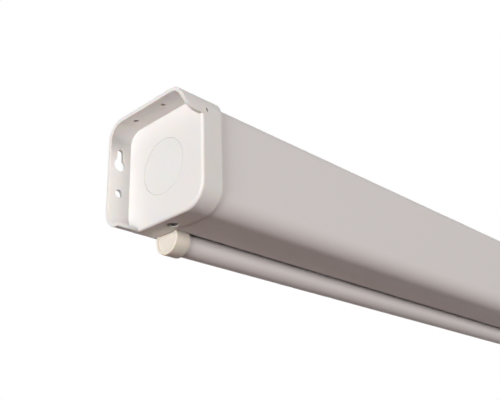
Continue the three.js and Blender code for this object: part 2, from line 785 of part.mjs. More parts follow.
const finish = {
  cap: { color: 0xf0ece8, roughness: 0.45, metalness: 0 },
  disc: { color: 0xf1edea, roughness: 0.42, metalness: 0 },
  shell: { color: 0xd0cac6, roughness: 0.4, metalness: 0.1 },
  bar: { color: 0xc8bfba, roughness: 0.4, metalness: 0.1 },
  barCap: { color: 0xeee5d8, roughness: 0.5, metalness: 0 },
  steel: { color: 0x9a9a9c, roughness: 0.35, metalness: 1 },
  darkSteel: { color: 0x3a3836, roughness: 0.4, metalness: 1 },
  aluminium: { color: 0xb9bbbe, roughness: 0.35, metalness: 1 },
  acetal: { color: 0xe6e3dc, roughness: 0.4, metalness: 0 },
  fabric: { color: 0xf2f2f0, roughness: 0.85, metalness: 0 },
};

const part = new THREE.Group();

function place(name, geometry, look) {
  const mesh = new THREE.Mesh(geometry, new THREE.MeshStandardMaterial({ ...finish[look], flatShading: true }));
  mesh.name = name;
  part.add(mesh);
}

function placePair(name, geometry, look) {
  place(`left_${name}`, geometry, look);
  place(`right_${name}`, mirrored(geometry), look);
}

placePair('end_cap', endCap(), 'cap');
placePair('cover_disc', coverDisc(), 'disc');
placePair('base_screw', baseScrew(), 'darkSteel');
placePair('bracket_rivet_lower', bracketRivet(-1), 'steel');
placePair('bracket_rivet_upper', bracketRivet(1), 'steel');
place('case_shell', caseShell(), 'shell');
place('left_bracket', bracket(tangOpening()), 'steel');
place('right_bracket', mirrored(bracket(bushOpening())), 'steel');

place('motor_shaft', motorShaft(), 'steel');
place('ratchet_plate', ratchetPlate(), 'steel');
place('torsion_spring', torsionSpring(), 'darkSteel');
place('spring_anchor', sleeveX(anchorRadius, shaftRadius + seatGap, anchorStart, anchorStart + anchorLength), 'steel');
place('idler_bush', mirrored(idlerBush()), 'acetal');

place('roller_tube', sleeveX(tubeRadius, tubeRadius - tubeWall, tubeStart, caseSpan - tubeStart), 'aluminium');
place('motor_end_plug', rollerPlug(...pawlPinHoles()), 'steel');
place('shaft_bearing', sleeveX(plugRadius, shaftRadius + seatGap, bearingStart, bearingStart + bearingLength), 'acetal');
['rear', 'front'].forEach((name, k) => {
  place(`${name}_pawl_pin`, pawlPin(k * Math.PI), 'steel');
  place(`${name}_pawl`, pawl(k * Math.PI), 'darkSteel');
});
place('idler_plug', mirrored(rollerPlug()), 'acetal');
place('idler_pin', mirrored(idlerPin()), 'steel');

place('screen_roll', sleeveX(rollRadius, tubeRadius + seatGap, screenMargin, caseSpan - screenMargin), 'fabric');
place('screen_drop', screenDrop(), 'fabric');
place('hem_rod', hemRod(), 'aluminium');
place('bottom_bar', bottomBar(), 'bar');
placePair('bar_cap', barCap(), 'barCap');

place('handle_bracket', handleBracket(), 'steel');
place('handle_rivet_left', saddleRivet(-1), 'steel');
place('handle_rivet_right', saddleRivet(1), 'steel');
place('handle_pin', handlePin(), 'steel');
place('pull_handle', pullHandle(), 'barCap');

part.position.set(flangeHoleReach, -caseDepth, -wallHoleMiddle);

export default part;
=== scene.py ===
# %% [markdown]
# # A pull-down projection screen
#
# A long enamelled case hangs on two moulded end caps. Inside it a spring roller holds the screen,
# and a round bar along the screen's lower edge parks in the slot under the case. The moving solids
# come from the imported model, and this notebook gives them their finished shapes and surfaces.

# %% Load the solids
from math import acos, asin, atan2, cos, pi, radians, sin, tan

import bmesh
import bpy
from mathutils import Matrix, Vector


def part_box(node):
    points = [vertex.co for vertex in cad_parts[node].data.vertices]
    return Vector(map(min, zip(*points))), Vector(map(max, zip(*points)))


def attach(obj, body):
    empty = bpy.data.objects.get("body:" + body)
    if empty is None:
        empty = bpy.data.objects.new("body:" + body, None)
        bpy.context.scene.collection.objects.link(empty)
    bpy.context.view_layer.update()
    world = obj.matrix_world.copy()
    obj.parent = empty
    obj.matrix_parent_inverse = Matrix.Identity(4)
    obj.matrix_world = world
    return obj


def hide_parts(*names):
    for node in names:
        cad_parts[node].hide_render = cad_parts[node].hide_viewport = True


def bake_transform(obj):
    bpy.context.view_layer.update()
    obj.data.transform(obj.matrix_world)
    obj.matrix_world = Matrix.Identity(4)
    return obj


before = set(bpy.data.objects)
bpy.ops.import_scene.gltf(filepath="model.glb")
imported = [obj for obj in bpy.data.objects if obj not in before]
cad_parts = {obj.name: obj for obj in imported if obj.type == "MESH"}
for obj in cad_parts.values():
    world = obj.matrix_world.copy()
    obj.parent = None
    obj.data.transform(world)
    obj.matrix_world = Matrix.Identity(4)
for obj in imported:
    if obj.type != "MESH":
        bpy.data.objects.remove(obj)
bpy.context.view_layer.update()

# %% [markdown]
# ## One corner to measure from
#
# A cabinet maker measures every hole of a cap from one corner. Here that corner is where the left
# end panel, the case's front and its underside meet. The sizes of the big pieces are read from the
# solids, so the drawing follows if they change.

# %% The measuring corner and the big sizes
mm = 0.001
cap_low, cap_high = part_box("left_end_cap")
_, right_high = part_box("right_end_cap")
disc_low, disc_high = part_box("left_cover_disc")
bar_low, bar_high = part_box("bottom_bar")
cap_of_bar_low, cap_of_bar_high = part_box("left_bar_cap")

corner = Vector((disc_low.x, cap_low.y, cap_low.z))
flange_reach = corner.x - cap_low.x
skirt = cap_high.x - corner.x
depth = cap_high.y - cap_low.y
height = cap_high.z - cap_low.z
span = right_high.x - flange_reach - corner.x
hub_y = (disc_low.y + disc_high.y) / 2 - corner.y
hub_z = (disc_low.z + disc_high.z) / 2 - corner.z
bar_y = (bar_low.y + bar_high.y) / 2 - corner.y
bar_z = (cap_of_bar_low.z + cap_of_bar_high.z) / 2 - corner.z
bar_cap_radius = (cap_of_bar_high.y - cap_of_bar_low.y) / 2
print(f"case {span:.3f} m between end panels, section {depth:.3f} x {height:.3f} m")


# %% [markdown]
# ## Drawing tools
#
# Almost every piece here starts as a flat outline with rounded corners. A rounded corner is an arc
# that touches both of its sides, so it only needs the corner point and a radius. A prism then gives
# the outline a length along one axis.

# %% Outlines
def arc(a, b, radius, start, end, steps):
    """Points on part of a circle round (a, b), both ends included."""
    angles = [start + (end - start) * k / steps for k in range(steps + 1)]
    return [(a + radius * cos(angle), b + radius * sin(angle)) for angle in angles]


def circle(a, b, radius, steps=64):
    """A whole circle, with no point given twice."""
    return arc(a, b, radius, 0, 2 * pi, steps)[:-1]


def rounded(corners, steps=14):
    """An outline through corners (a, b, radius), with an arc in place of each corner."""
    outline = []
    for i, (a, b, radius) in enumerate(corners):
        here = Vector((a, b))
        if radius <= 0:
            outline.append((a, b))
            continue
        back = (Vector(corners[i - 1][:2]) - here).normalized()
        ahead = (Vector(corners[(i + 1) % len(corners)][:2]) - here).normalized()
        half = acos(max(-1, min(1, back.dot(ahead)))) / 2
        centre = here + (back + ahead).normalized() * radius / sin(half)
        first = here + back * radius / tan(half) - centre
        last = here + ahead * radius / tan(half) - centre
        begin = atan2(first.y, first.x)
        sweep = (atan2(last.y, last.x) - begin + pi) % (2 * pi) - pi
        outline += arc(centre.x, centre.y, radius, begin, begin + sweep, steps)
    return outline


# %% Prisms and turned pieces
PLACES = {
    "X": lambda along, a, b: (along, a, b),
    "Y": lambda along, a, b: (a, along, b),
    "Z": lambda along, a, b: (a, b, along),
}
same_point, on_the_axis = 1e-7, 1e-6


def solid_from(name, rings):
    """A closed mesh through rings of points. The first and last ring are filled."""
    mesh = bpy.data.meshes.new(name)
    shape = bmesh.new()
    rows = [[shape.verts.new(point) for point in ring] for ring in rings]
    for row, following in zip(rows, rows[1:]):
        for i in range(len(row)):
            j = (i + 1) % len(row)
            shape.faces.new((row[i], row[j], following[j], following[i]))
    shape.faces.new(reversed(rows[0]))
    shape.faces.new(rows[-1])
    bmesh.ops.remove_doubles(shape, verts=shape.verts, dist=same_point)
    bmesh.ops.recalc_face_normals(shape, faces=shape.faces)
    shape.to_mesh(mesh)
    shape.free()
    piece = bpy.data.objects.new(name, mesh)
    bpy.context.scene.collection.objects.link(piece)
    return piece


def prism(name, axis, outline, start, end):
    """A solid with the same outline all along an axis, from start to end."""
    place = PLACES[axis]
    return solid_from(name, [[place(at, a, b) for a, b in outline] for at in (start, end)])


def turned(name, axis, centre, profile, steps=96):
    """A piece turned on a lathe: profile lists (place along the axis, radius)."""
    place = PLACES[axis]
    rings = []
    for along, radius in profile:
        radius = max(radius, on_the_axis)
        rings.append([place(along, a, b) for a, b in circle(*centre, radius, steps)])
    return solid_from(name, rings)


# %% [markdown]
# ## Cutting and softening
#
# Boolean modifiers cut one solid out of another. A moulded or pressed edge is never perfectly
# sharp, so a narrow bevel follows the cuts: it is that bevel which catches the light along a rim.

# %% Modifiers that finish a mesh
def freeze(piece):
    """Turn what the modifiers make into the piece's own mesh."""
    graph = bpy.context.evaluated_depsgraph_get()
    mesh = bpy.data.meshes.new_from_object(piece.evaluated_get(graph))
    old = piece.data
    piece.modifiers.clear()
    piece.data = mesh
    if old.users == 0:
        bpy.data.meshes.remove(old)
    return piece


def combine(piece, tools, operation="DIFFERENCE"):
    """Cut the tools out of a piece, or join or intersect them with it. The tools are used up."""
    for tool in tools:
        cut = piece.modifiers.new("cut", "BOOLEAN")
        cut.object = tool
        cut.operation = operation
        cut.solver = "EXACT"
    freeze(piece)
    for tool in tools:
        bpy.data.objects.remove(tool)
    return piece


def soften(piece, width, segments=3, sharper_than=35, crisp_cuts=()):
    """Round every edge sharper than the angle, make the crisp cuts, and shade the piece smooth."""
    bevel = piece.modifiers.new("edge", "BEVEL")
    bevel.width = width
    bevel.segments = segments
    bevel.limit_method = "ANGLE"
    bevel.angle_limit = radians(sharper_than)
    bevel.use_clamp_overlap = False
    bevel.miter_outer = "MITER_ARC"
    freeze(piece)
    combine(piece, crisp_cuts)
    piece.data.shade_smooth()
    weigh = piece.modifiers.new("normals", "WEIGHTED_NORMAL")
    weigh.keep_sharp = True
    weigh.weight = 60
    return freeze(piece)


def smooth(piece, sharper_than):
    """Shade a piece smooth, apart from the edges that are sharper than the angle."""
    piece.data.shade_smooth()
    piece.data.set_sharp_from_angle(angle=radians(sharper_than))
    return piece


def settle(piece, offset=corner):
    """Move a mesh from where it was drawn to its place, with the object left at the origin."""
    piece.data.transform(Matrix.Translation(offset))
    return piece


def mirrored(piece, name):
    """The same piece for the other end of the case, its faces turned to point out again."""
    twin = bpy.data.objects.new(name, piece.data.copy())
    bpy.context.scene.collection.objects.link(twin)
    middle = corner.x + span / 2
    flip = Matrix.Translation((2 * middle, 0, 0)) @ Matrix.Scale(-1, 4, (1, 0, 0))
    twin.data.transform(flip)
    twin.data.flip_normals()
    return twin


# %% [markdown]
# ## Shader maths in plain Python
#
# A material is a graph of small sums. Wrapping a socket in a class whose operators add Math nodes
# lets the sums be written as they would be on paper.

# %% The socket wrapper
class Value:
    """A number that varies over a surface. Its operators add Math nodes to the material."""

    def __init__(self, finish, socket):
        self.finish = finish
        self.socket = socket

    def sum_with(self, operation, *others):
        return self.finish.add("ShaderNodeMath", {"operation": operation}, self, *others)

    def __add__(self, other):
        return self.sum_with("ADD", other)

    def __sub__(self, other):
        return self.sum_with("SUBTRACT", other)

    def __mul__(self, other):
        return self.sum_with("MULTIPLY", other)

    def __gt__(self, other):
        return self.sum_with("GREATER_THAN", other)


class Finish:
    """One material, with its Principled shader and short calls for the nodes it needs."""

    def __init__(self, name, roughness=0.5, metallic=0.0, colour=(0.8, 0.8, 0.8), **constants):
        self.material = bpy.data.materials.new(name)
        self.material.use_nodes = True
        self.nodes = self.material.node_tree.nodes
        self.links = self.material.node_tree.links
        self.shader = self.nodes["Principled BSDF"]
        self.set("Roughness", roughness)
        self.set("Metallic", metallic)
        self.set("Base Color", (*colour, 1))
        for socket, value in constants.items():
            self.set(socket.replace("_", " ").title().replace("Ior", "IOR"), value)
        place = self.nodes.new("ShaderNodeTexCoord")
        self.place = Value(self, place.outputs["Object"])

    def connect(self, socket, value):
        if isinstance(value, Value):
            self.links.new(value.socket, socket)
        else:
            socket.default_value = value

    def set(self, name, value):
        self.connect(self.shader.inputs[name], value)

    def add(self, kind, settings, *values, **named):
        """A node of that kind: settings first, then its sockets in order or by name."""
        node = self.nodes.new(kind)
        for key, value in settings.items():
            setattr(node, key, value)
        for socket, value in zip(node.inputs, values):
            self.connect(socket, value)
        for name, value in named.items():
            self.connect(node.inputs[name.replace("_", " ").title()], value)
        return Value(self, node.outputs[0])

    def noise(self, scale, detail=4, stretch=None):
        """A cloud from 0 to 1, scale features to the metre, drawn out along an axis by stretch."""
        where = self.place
        if stretch:
            where = self.add("ShaderNodeVectorMath", {"operation": "MULTIPLY"}, where, stretch)
        return self.add("ShaderNodeTexNoise", {}, vector=where, scale=scale, detail=detail)

    def blend(self, factor, first, second):
        """A colour between two, given as red, green and blue or as a value."""
        node = self.nodes.new("ShaderNodeMix")
        node.data_type = "RGBA"
        first, second = (end if isinstance(end, Value) else (*end, 1) for end in (first, second))
        for index, value in ((0, factor), (6, first), (7, second)):
            self.connect(node.inputs[index], value)
        return Value(self, node.outputs[2])

    def bumps(self, height, distance):
        """Relief: height from 0 to 1 stands for that distance in metres."""
        relief = self.add("ShaderNodeBump", {}, height=height, distance=distance, strength=1.0)
        self.set("Normal", relief)

    def mottle(self, tint, gloss, light, shade, roughness, spread):
        """Colour that follows one cloud, and roughness that follows another around its mean."""
        self.set("Base Color", self.blend(tint, light, shade))
        self.set("Roughness", gloss * spread + (roughness - spread / 2))


# %% [markdown]
# ## Plastics and enamel
#
# The caps are moulded in a satin white plastic whose mould was lightly spark-eroded, which leaves a
# grain far finer than a millimetre. The case is steel sheet under stoved enamel: as satin as the
# caps, a touch greyer, and with the soft ripple that painters call orange peel.

# %% Satin plastics
def moulded(name, light, shade, roughness):
    finish = Finish(name, ior=1.46, specular_ior_level=0.16, subsurface_weight=0.3,
                    subsurface_radius=(1.0, 0.45, 0.2), subsurface_scale=2.5 * mm)
    finish.mottle(finish.noise(22, 3), finish.noise(60), light, shade, roughness, spread=0.14)
    finish.bumps(finish.noise(2600, 2), 0.03 * mm)
    return finish.material


cap_plastic = moulded("cap_plastic", (0.80, 0.785, 0.77), (0.785, 0.77, 0.75), 0.42)
disc_plastic = moulded("disc_plastic", (0.80, 0.785, 0.77), (0.785, 0.77, 0.75), 0.36)
bar_cap_plastic = moulded("bar_cap_plastic", (0.78, 0.735, 0.66), (0.76, 0.71, 0.63), 0.46)
handle_plastic = moulded("handle_plastic", (0.80, 0.775, 0.74), (0.785, 0.755, 0.715), 0.4)
print("plastics:", cap_plastic.name, disc_plastic.name, bar_cap_plastic.name)


# %% Stoved enamel
def enamel(name, light, shade, roughness):
    finish = Finish(name, ior=1.5, specular_ior_level=0.14)
    along = finish.noise(5, 3, (0.25, 1, 1))
    finish.mottle(along, finish.noise(35), light, shade, roughness, spread=0.12)
    peel, fine = finish.noise(420, 2), finish.noise(1900, 2)
    finish.bumps(peel * 0.7 + fine * 0.3, 0.04 * mm)
    return finish.material


case_enamel = enamel("case_enamel", (0.78, 0.755, 0.75), (0.765, 0.74, 0.735), 0.42)
bar_enamel = enamel("bar_enamel", (0.73, 0.705, 0.70), (0.72, 0.695, 0.69), 0.38)
print("enamels:", case_enamel.name, bar_enamel.name)

# %% [markdown]
# ## Metals
#
# Zinc-plated steel is mottled at the scale of its crystals, drawn tube shows fine lines along its
# length, and the spring is dark from its oil.


# %% Bare metals
def metal(name, light, shade, roughness, stretch=None, scale=180):
    finish = Finish(name, metallic=1.0)
    streak = finish.noise(scale, 5, stretch)
    finish.mottle(streak, streak, light, shade, roughness, spread=0.2)
    finish.bumps(finish.noise(scale * 5, 3, stretch), 0.01 * mm)
    return finish.material


zinc = metal("zinc_plate", (0.62, 0.63, 0.65), (0.50, 0.51, 0.52), 0.36)
spring_steel = metal("spring_steel", (0.16, 0.15, 0.14), (0.07, 0.065, 0.06), 0.38)
drawn_aluminium = metal("drawn_aluminium", (0.72, 0.73, 0.74), (0.62, 0.63, 0.65), 0.34,
                        stretch=(0.02, 1, 1))
# Near black: partly the screw's own dark finish, partly painted shade for the deep recess it sits
# in.
dark_screw_and_recess_shade = metal("dark_screw_and_recess_shade", (0.06, 0.055, 0.05), (0.02, 0.02, 0.02), 0.3, scale=400)

acetal_finish = Finish("acetal", roughness=0.4, ior=1.48)
acetal_finish.set("Base Color", acetal_finish.blend(
    acetal_finish.noise(90), (0.80, 0.78, 0.73), (0.76, 0.74, 0.69)))
acetal = acetal_finish.material
print("metals:", zinc.name, spring_steel.name, drawn_aluminium.name, dark_screw_and_recess_shade.name)


# %% [markdown]
# ## Dressing a piece
#
# Every finished piece gets its material, rides on a body and stands for the solids that it hides.

# %% Dress a piece
def dress(piece, material, body, slot, *nodes):
    piece.data.materials.clear()
    piece.data.materials.append(material)
    for face in piece.data.polygons:
        face.material_index = 0
    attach(piece, body)
    if nodes:
        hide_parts(*nodes)
    print(f"{piece.name}: {len(piece.data.polygons)} faces on {body}")


# %% [markdown]
# ## The end cap
#
# One moulding does four jobs: a skirt grips the case, a panel closes it, and a flange takes the
# screws. The flange is one band that goes over the top, down the rear and around the bend below.
# The panel's other edges have a round rim, so the box is lofted through outlines that grow by the
# sine of an angle, and the band is then joined to it.

# %% Sizes of the end cap
over = 1 * mm  # how far a cut starts outside what it cuts
flange = 3.5 * mm
rim = 2.5 * mm
panel = 4.6 * mm
skirt_wall = 3 * mm
moulded_edge = 0.4 * mm
front_low, rear_low, rear_top, front_top = 21 * mm, 16 * mm, 17 * mm, 15 * mm

# The flange's front edge runs level for a short way, then curves up. Its foot has a round nose.
edge_level, edge_flat = 79.4 * mm, 4.7 * mm
foot_gap, foot_nose = 1.2 * mm, 1.15 * mm

# Holes for a wall in the rear of the flange, and for a ceiling in its top.
wall_hole_x, wall_hole_z, wall_hole_radius = -10.6 * mm, 36 * mm, 3.5 * mm
keyhole_z, keyhole_radius, keyhole_slot, keyhole_rise = 63 * mm, 5.8 * mm, 3.2 * mm, 11.8 * mm
ceiling_hole_x, ceiling_hole_radius = -11.7 * mm, 2.3 * mm
ceiling_hole_ys = (35.5 * mm, 72 * mm)

# Room for the cover plate, for the rivets behind it, and for the screw from below.
seat_radius, seat_depth = 25.1 * mm, 1.5 * mm
rivet_room_radius, rivet_room_depth = 21.5 * mm, 3 * mm
screw_x, screw_y = 12.3 * mm, hub_y + 1.3 * mm
boss_radius, boss_top = 7 * mm, 8.2 * mm
screw_room, screw_way, screw_way_top = 4.7 * mm, 2 * mm, 10 * mm

# The mark is a short slot: its two end circles stand this far from its middle.
mark_x, mark_z, mark_half, mark_end = 5.3 * mm, 83.9 * mm, 1.1 * mm, 0.6 * mm
mark_depth, mark_lean = 2 * mm, radians(20)


def cap_section(inset=0.0):
    """The cap's outline, or one that lies inside it."""
    return rounded([
        (inset, inset, front_low - inset),
        (depth - inset, inset, rear_low - inset),
        (depth - inset, height - inset, rear_top - inset),
        (inset, height - inset, front_top - inset),
    ])


def cap_box(steps=8):
    """The panel's round rim, and behind it the skirt, still filled in."""
    rings = []
    for k in range(steps + 1):
        angle = k / steps * pi / 2
        x = rim * (1 - cos(angle))
        rings.append([(x, y, z) for y, z in cap_section(rim * (1 - sin(angle)))])
    rings.append([(skirt, y, z) for y, z in cap_section()])
    return solid_from("left_cap", rings)


# %% The flange and its curved front edge
def front_opening():
    """What is open in front of the panel, below the flange's front edge."""
    bend = flange_reach - edge_flat
    edge, back, top = -flange_reach - over, rim + 2 * over, edge_level + bend
    outline = [(back, -over), (back, edge_level), *arc(-edge_flat, top, bend, -pi / 2, -pi, 28)]
    outline += [(edge, top), (edge, -over)]
    return prism("opening", "Y", outline, -over, front_top + over)


def flange_band():
    """The band round the top, the rear and the bend below, with its front edge cut."""
    foot = depth - rear_low - foot_gap
    outline = rounded([
        (foot, 0, foot_nose),
        (depth, 0, rear_low),
        (depth, height, rear_top),
        (0, height, front_top),
        (0, height / 2, 0),
        (flange, height / 2, 0),
        (flange, height - flange, front_top - flange),
        (depth - flange, height - flange, rear_top - flange),
        (depth - flange, flange, rear_low - flange),
        (foot, flange, foot_nose),
    ])
    return combine(prism("band", "X", outline, -flange_reach, rim + over), [front_opening()])


# %% Screw holes of the flange
def keyhole(x, z, wide, narrow, rise):
    """A round entry with a slot above it, drawn as one outline."""
    meet = asin(narrow / wide)
    entry = arc(x, z, wide, pi / 2 - meet, pi / 2 + meet - 2 * pi, 48)
    return entry + arc(x, z + rise, narrow, pi, 0, 20)


def flange_holes():
    """A keyhole and a round hole in the rear, and two round holes in the top."""
    rear = (depth - flange - over, depth + over)
    key = keyhole(wall_hole_x, keyhole_z, keyhole_radius, keyhole_slot, keyhole_rise)
    holes = [
        prism("keyhole", "Y", key, *rear),
        prism("wall_hole", "Y", circle(wall_hole_x, wall_hole_z, wall_hole_radius, 48), *rear),
    ]
    for y in ceiling_hole_ys:
        outline = circle(ceiling_hole_x, y, ceiling_hole_radius, 40)
        holes.append(prism("ceiling_hole", "Z", outline, height - flange - over, height + over))
    return holes


# %% The skirt's pocket, the plate's seat and the small holes
def pocket():
    """What the skirt leaves free for the end of the case."""
    return prism("pocket", "X", cap_section(skirt_wall), panel, skirt + over)


def mark():
    """A slot that leans, in the skirt beside the flange's front edge."""
    across, up = mark_half * sin(mark_lean), mark_half * cos(mark_lean)
    outline = []
    for side, begin in ((1, mark_lean), (-1, mark_lean + pi)):
        outline += arc(mark_x - side * across, mark_z + side * up, mark_end, begin, begin + pi, 8)
    return prism("mark", "Y", outline, -over, mark_depth)


def small_cuts():
    """The plate's seat, the room behind it, and the screw's two bores."""
    return [
        prism("seat", "X", circle(hub_y, hub_z, seat_radius, 96), -over, seat_depth),
        prism("rivet_room", "X", circle(hub_y, hub_z, rivet_room_radius), -over, rivet_room_depth),
        prism("screw_room", "Z", circle(screw_x, screw_y, screw_room, 40), -over, screw_room),
        prism("screw_way", "Z", circle(screw_x, screw_y, screw_way, 32), 0, screw_way_top),
    ]


# %% Cut the cap, soften it and mirror it
def end_cap():
    """Hollow the box, join the band and the screw's boss to it, then drill and soften it all."""
    cap = combine(cap_box(), [pocket()])
    boss = prism("boss", "Z", circle(screw_x, screw_y, boss_radius, 48), skirt_wall / 2, boss_top)
    combine(cap, [flange_band(), boss], "UNION")
    combine(cap, [*flange_holes(), *small_cuts()])
    return settle(soften(cap, moulded_edge, crisp_cuts=[mark()]))


left_cap = end_cap()
right_cap = mirrored(left_cap, "right_cap")
dress(left_cap, cap_plastic, "case", "cap", "left_end_cap")
dress(right_cap, cap_plastic, "case", "cap", "right_end_cap")


# %% [markdown]
# ## The plate in the end panel
#
# A round plate snaps over the rivets of the roller's bracket. It lies flush, and only a hairline
# joint shows where it meets the panel.

# %% Cover plates
def cover_plate():
    """A plate turned on a lathe, with a round edge at its face."""
    radius, thick, edge = 25.02 * mm, 1.2 * mm, 0.7 * mm
    profile = [(0, 0), *arc(edge, radius - edge, edge, pi, pi / 2, 4)]
    profile += [(thick, radius), (thick, 0)]
    return settle(turned("left_plate", "X", (hub_y, hub_z), profile))


left_plate = smooth(cover_plate(), 50)
right_plate = mirrored(left_plate, "right_plate")
dress(left_plate, disc_plastic, "case", "disc", "left_cover_disc")
dress(right_plate, disc_plastic, "case", "disc", "right_cover_disc")


# %% [markdown]
# ## Folded sheet
#
# The case is one long strip of steel, folded and never cut through its length. Geometry Nodes make
# it the way a folding press does: a bent line, rounded at each fold, is drawn out along X. Solidify
# then gives it the sheet's thickness.

# %% A tree that draws a bent line out into sheet
def new_tree(name, **inputs):
    tree = bpy.data.node_groups.new(name, "GeometryNodeTree")
    tree.interface.new_socket("Geometry", in_out="INPUT", socket_type="NodeSocketGeometry")
    for label, kind in inputs.items():
        tree.interface.new_socket(label, in_out="INPUT", socket_type=f"NodeSocket{kind}")
    tree.interface.new_socket("Geometry", in_out="OUTPUT", socket_type="NodeSocketGeometry")
    start = tree.nodes.new("NodeGroupInput")
    end = tree.nodes.new("NodeGroupOutput")

    def step(kind, settings=None, **values):
        node = tree.nodes.new(f"GeometryNode{kind}")
        for key, value in (settings or {}).items():
            setattr(node, key, value)
        for label, value in values.items():
            socket = node.inputs[label.replace("_", " ")]
            if isinstance(value, bpy.types.NodeSocket):
                tree.links.new(value, socket)
            else:
                socket.default_value = value
        return node.outputs[0]

    return tree, start.outputs, end.inputs["Geometry"], step


def finish_tree(tree, result, output, step, material):
    smooth = step("SetShadeSmooth", Geometry=result)
    real = step("RealizeInstances", Geometry=smooth)
    painted = step("SetMaterial", Geometry=real, Material=material)
    tree.links.new(painted, output)
    return tree


def folded_tree(name):
    tree, given, output, step = new_tree(name, Length="Vector", Steps="Int", Material="Material")
    bend = step("FilletCurve", {"mode": "POLY"}, Curve=given["Geometry"], Count=given["Steps"],
                Radius=step("InputRadius"), Limit_Radius=True)
    line = step("CurveToMesh", Curve=bend)
    drawn = step("ExtrudeMesh", {"mode": "EDGES"}, Mesh=line, Offset=given["Length"],
                 Offset_Scale=1.0)
    return finish_tree(tree, drawn, output, step, given["Material"])


def run_tree(piece, tree, **inputs):
    """Put a tree on a piece, set its inputs by their identifiers, and keep the mesh it makes."""
    modifier = piece.modifiers.new("tree", "NODES")
    modifier.node_group = tree
    for socket in tree.interface.items_tree:
        if socket.in_out == "INPUT" and socket.name in inputs:
            modifier[socket.identifier] = inputs[socket.name]
    graph = bpy.context.evaluated_depsgraph_get()
    mesh = bpy.data.meshes.new_from_object(piece.evaluated_get(graph))
    result = bpy.data.objects.new(piece.name, mesh)
    bpy.data.objects.remove(piece)
    bpy.context.scene.collection.objects.link(result)
    return result


# %% A bent line as a curve
def bent_line(name, x, points):
    """A line through points (y, z, fold radius) in the plane at x."""
    curve = bpy.data.curves.new(name, "CURVE")
    curve.dimensions = "3D"
    line = curve.splines.new("POLY")
    line.points.add(len(points) - 1)
    for point, (y, z, radius) in zip(line.points, points):
        point.co = (x, y, z, 1)
        point.radius = radius
    piece = bpy.data.objects.new(name, curve)
    bpy.context.scene.collection.objects.link(piece)
    return piece


def thicken(piece, thickness):
    """Give a thin surface a thickness, half on each side."""
    wall = piece.modifiers.new("wall", "SOLIDIFY")
    wall.thickness = thickness
    wall.offset = 0
    wall.use_even_offset = True
    return freeze(piece)


# %% The case
folded_sheet = folded_tree("folded_sheet")
sheet = 1.2 * mm
fit = 0.3 * mm  # room between the case and the caps
shell_inset = skirt_wall + fit
underside = 0.6 * mm
slot_half, lip_height = 10.9 * mm, 6 * mm
lip_fold, rear_fold = 1.2 * mm, 9.4 * mm
notch_height = 22 * mm
bar_cap_room, bar_cap_gap = 0.35 * mm, 0.5 * mm  # round the bar's caps and past their inner ends


def case():
    """From the front lip of the slot up, over and down again to its rear lip."""
    near, far = shell_inset + sheet / 2, depth - shell_inset - sheet / 2
    top, low = height - shell_inset - sheet / 2, underside + sheet / 2
    lip = bar_y - slot_half - sheet / 2
    line = bent_line("case", panel + fit, [
        (lip, underside + lip_height, 0),
        (lip, low, lip_fold),
        (near, low, front_low - near),
        (near, top, front_top - near),
        (far, top, rear_top - near),
        (far, low, rear_fold),
        (bar_y + slot_half, low, 0),
    ])
    length = (span - 2 * (panel + fit), 0, 0)
    piece = run_tree(line, folded_sheet, Length=length, Steps=14, Material=case_enamel)
    return thicken(piece, sheet)


def notches():
    """Room at both ends of the case, for the skirts' bases and for the caps of the bar."""
    low_part = [(0, -over), (depth, -over), (depth, notch_height), (0, notch_height)]
    round_part = circle(bar_y, bar_z, bar_cap_radius + bar_cap_room)
    bar_end = cap_of_bar_high.x - corner.x + bar_cap_gap
    cuts = []
    for outline, reach in ((low_part, skirt + fit), (round_part, bar_end)):
        cuts.append(prism("notch", "X", outline, 0, reach))
        cuts.append(prism("notch", "X", outline, span - reach, span))
    return cuts


shell = smooth(combine(case(), notches()), 40)
dress(settle(shell), case_enamel, "case", "shell", "case_shell")

# %% The inside of the case is painted near black, as painted shade for its hollow and the slot under it
# Near-black colour: painted shade for the dark hollow of the case and the slot under it.
painted_shade = Finish("painted_shade", roughness=0.7)
painted_shade.set("Base Color", painted_shade.blend(
    painted_shade.noise(30), (0.02, 0.019, 0.018), (0.015, 0.014, 0.013)))
shell.data.materials.append(painted_shade.material)
hub = corner + Vector((0, hub_y, hub_z))
# Faces that look in towards the roller get the painted shade.
for face in shell.data.polygons:
    out = face.center - hub
    if face.normal.y * out.y + face.normal.z * out.z < 0:
        face.material_index = 1
print("primed faces:", sum(face.material_index for face in shell.data.polygons))

# %% The inside of the mark in each skirt gets the painted shade
mark_middle, mark_box = 1.2 * mm, Vector((1.4, 0.9, 2.2)) * mm
# The faces inside each mark get the same near-black painted shade as the inside of the case.
for cap, x in ((left_cap, mark_x), (right_cap, span - mark_x)):
    cap.data.materials.append(painted_shade.material)
    centre = corner + Vector((x, mark_middle, mark_z))
    for face in cap.data.polygons:
        away = face.center - centre
        if all(abs(distance) < limit for distance, limit in zip(away, mark_box)):
            face.material_index = 1
    print(f"{cap.name}: {sum(face.material_index for face in cap.data.polygons)} dark faces")

# %% [markdown]
# ## The bottom bar
#
# The bar is the same idea with a round line: a tube left open along its top, where the screen's hem
# goes in. It is drawn a trifle thinner and lower than its solid, which gives the moulded caps on
# its ends a clear shoulder. They are wider than the tube and dished in the face.

# %% The bar
tube_trim = 0.5 * mm
tube_radius = (bar_high.y - bar_low.y) / 2 - tube_trim
tube_z = bar_z - tube_trim
tube_wall = 1.4 * mm
tube_start = bar_low.x - corner.x


def bar():
    """A circle that stays open for the hem along its top, drawn out into a tube."""
    opening = 1.2 * mm
    middle = tube_radius - tube_wall / 2
    gap = atan2(opening, middle)
    points = arc(bar_y, tube_z, middle, pi / 2 + gap, 5 * pi / 2 - gap, 80)
    line = bent_line("bar", tube_start, [(y, z, 0) for y, z in points])
    length = (bar_high.x - bar_low.x, 0, 0)
    piece = run_tree(line, folded_sheet, Length=length, Steps=1, Material=bar_enamel)
    return thicken(piece, tube_wall)


dress(settle(smooth(bar(), 40)), bar_enamel, "bottom_bar", "bar", "bottom_bar")


